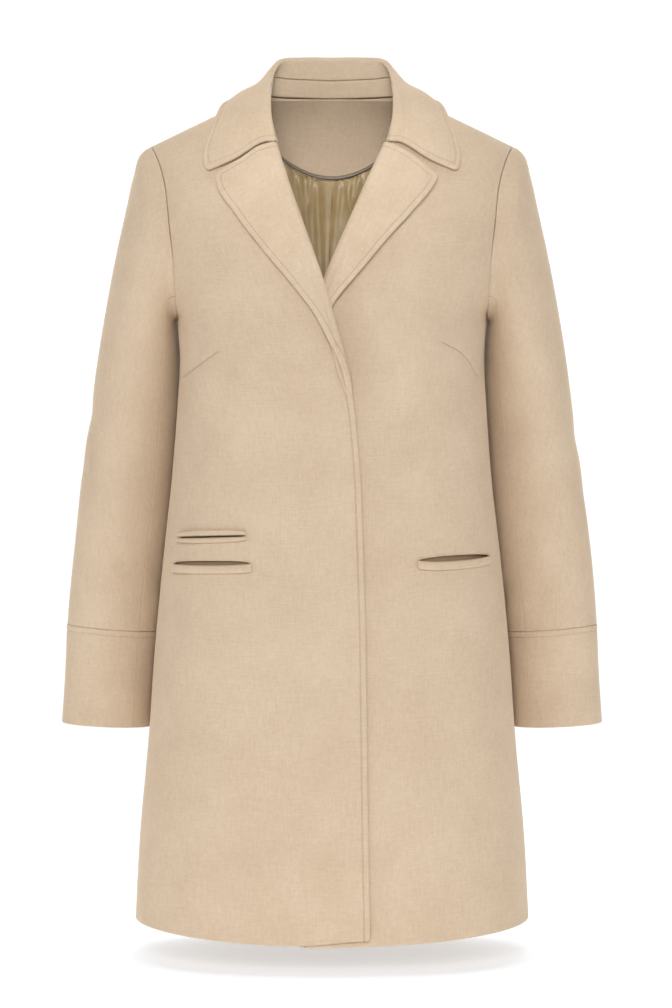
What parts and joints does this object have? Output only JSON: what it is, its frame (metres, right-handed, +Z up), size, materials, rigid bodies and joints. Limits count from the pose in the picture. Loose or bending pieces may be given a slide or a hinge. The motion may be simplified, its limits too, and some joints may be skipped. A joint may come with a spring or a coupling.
{
  "type": "overcoat",
  "caption": "Thigh-length single-breasted wool overcoat, hollow as worn: notched lapels, turned-down collar, cuffed sleeves, welt pockets and an open hem.",
  "frame": {"origin": "at the nape, midway between the shoulder points, where the wearer's shoulders and neck hold the coat up", "axes": "+Z up along the centre back, the coat's front towards -Y, the wearer's left towards +X"},
  "size_m": [0.5822, 0.3019, 0.9437],
  "materials": {
    "wool": "brushed camel wool coating",
    "wool_inside": "brushed wool, a shade darker",
    "satin": "soft bronze satin",
    "piping": "dull dark satin binding",
    "pocket_cloth": "plain woven cotton"
  },
  "bodies": {
    "root": {"back": "wool", "back_lining": "satin", "back_neck_facing": "wool_inside", "collar_leaf": "wool", "collar_stand": "wool_inside", "cuff_left_under": "wool", "cuff_left_upper": "wool", "cuff_right_under": "wool", "cuff_right_upper": "wool", "facing_piping": "piping", "front_left": "wool", "front_right": "wool", "lapel_left": "wool", "lapel_right": "wool", "pocket_backing_left": "pocket_cloth", "pocket_backing_right": "pocket_cloth", "pocket_welt_left": "wool", "pocket_welt_right": "wool", "sleeve_left_under": "wool", "sleeve_left_upper": "wool", "sleeve_right_under": "wool", "sleeve_right_upper": "wool", "ticket_backing": "pocket_cloth", "ticket_lip_lower": "wool", "ticket_lip_upper": "wool"}
  },
  "joints": []
}
